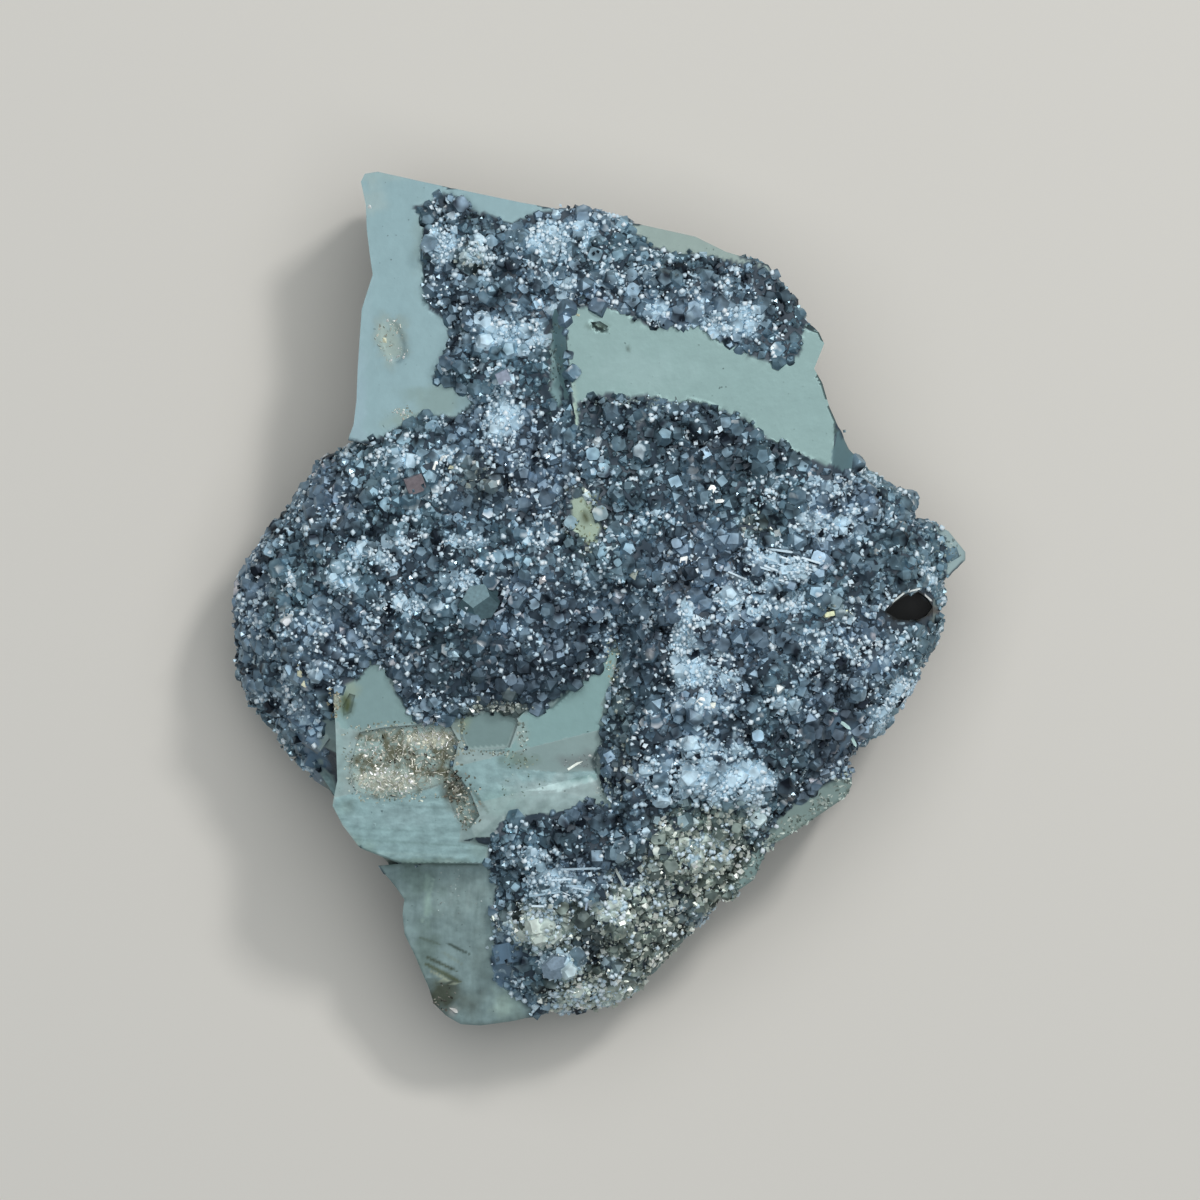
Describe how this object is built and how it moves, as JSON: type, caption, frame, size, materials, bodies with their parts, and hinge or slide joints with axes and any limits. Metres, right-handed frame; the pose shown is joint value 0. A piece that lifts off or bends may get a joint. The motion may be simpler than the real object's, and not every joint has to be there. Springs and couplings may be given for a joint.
{
  "type": "pyrite specimen",
  "caption": "Pyrite specimen: large flat-faced crystals grown together in one mass under a crust of small glinting crystals, lying on its back as a display stone.",
  "frame": {"origin": "on the surface the specimen lies on, at the middle of its bounding box", "axes": "+Z out of the show face; +Y towards the pointed upper end with the large left face, the longest way; +X to the right seen from above"},
  "size_m": [0.1026, 0.12, 0.0478],
  "materials": {
    "pyrite": "metallic steel-green flat faces with a blue-black crystal crust"
  },
  "bodies": {
    "root": {"pyrite_specimen": "pyrite"}
  },
  "joints": []
}
